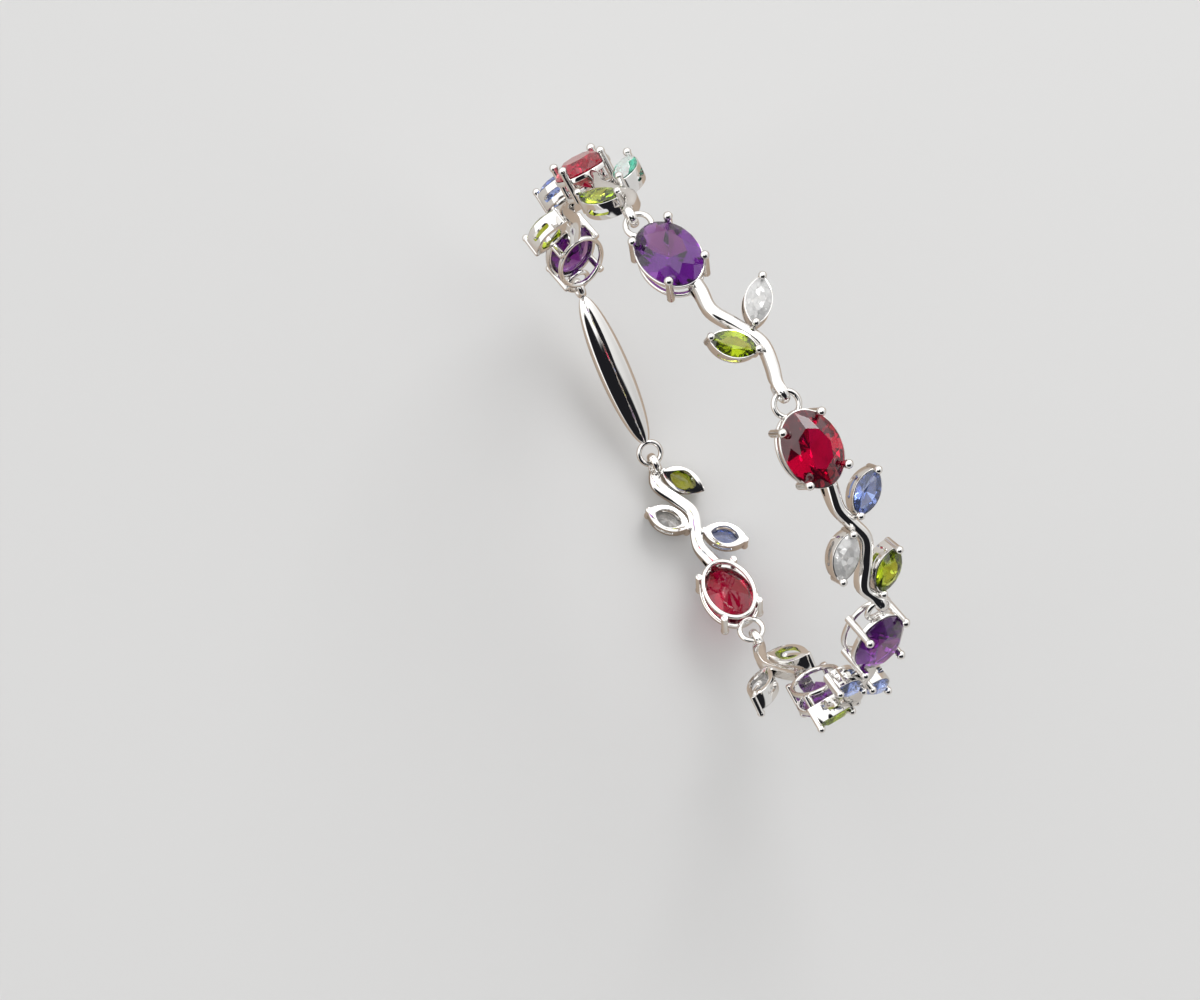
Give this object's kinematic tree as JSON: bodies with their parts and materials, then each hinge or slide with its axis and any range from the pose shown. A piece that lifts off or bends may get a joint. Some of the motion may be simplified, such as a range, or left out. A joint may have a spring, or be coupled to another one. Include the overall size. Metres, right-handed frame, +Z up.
{
  "type": "gemstone bracelet",
  "caption": "Silver gemstone bracelet: ring-joined links with oval red and purple stones in prong baskets and wavy stems carrying small marquise leaf stones.",
  "frame": {"origin": "Middle of the closed loop, where the wrist goes through, on the wrist's own axis.", "axes": "+Y runs along the wrist through the loop, +Z points up to the back of the wrist, +X goes across the wrist, the loop's longer way."},
  "size_m": [0.0664, 0.0158, 0.0601],
  "materials": {
    "polished_silver": "mirror-polished rhodium-plated silver",
    "ruby": "faceted deep red stone",
    "amethyst": "faceted violet stone",
    "peridot": "faceted yellow-green stone",
    "blue_stone": "faceted violet-blue stone",
    "clear_stone": "faceted colourless stone",
    "green_stone": "faceted emerald-green stone"
  },
  "bodies": {
    "root": {"link_1": "polished_silver", "link_2": "polished_silver", "link_3": "polished_silver", "link_4": "polished_silver", "link_5": "polished_silver", "link_6": "polished_silver", "link_7": "polished_silver", "clasp": "polished_silver", "ruby_1": "ruby", "ruby_2": "ruby", "ruby_3": "ruby", "amethyst_1": "amethyst", "amethyst_2": "amethyst", "amethyst_3": "amethyst", "amethyst_4": "amethyst", "peridot_leaf_1": "peridot", "peridot_leaf_2": "peridot", "peridot_leaf_3": "peridot", "peridot_leaf_4": "peridot", "peridot_leaf_5": "peridot", "peridot_leaf_6": "peridot", "peridot_leaf_7": "peridot", "blue_leaf_1": "blue_stone", "blue_leaf_2": "blue_stone", "blue_leaf_3": "blue_stone", "blue_leaf_4": "blue_stone", "blue_leaf_5": "blue_stone", "clear_leaf_1": "clear_stone", "clear_leaf_2": "clear_stone", "clear_leaf_3": "clear_stone", "clear_leaf_4": "clear_stone", "clear_leaf_5": "clear_stone", "green_leaf_1": "green_stone"}
  },
  "joints": []
}
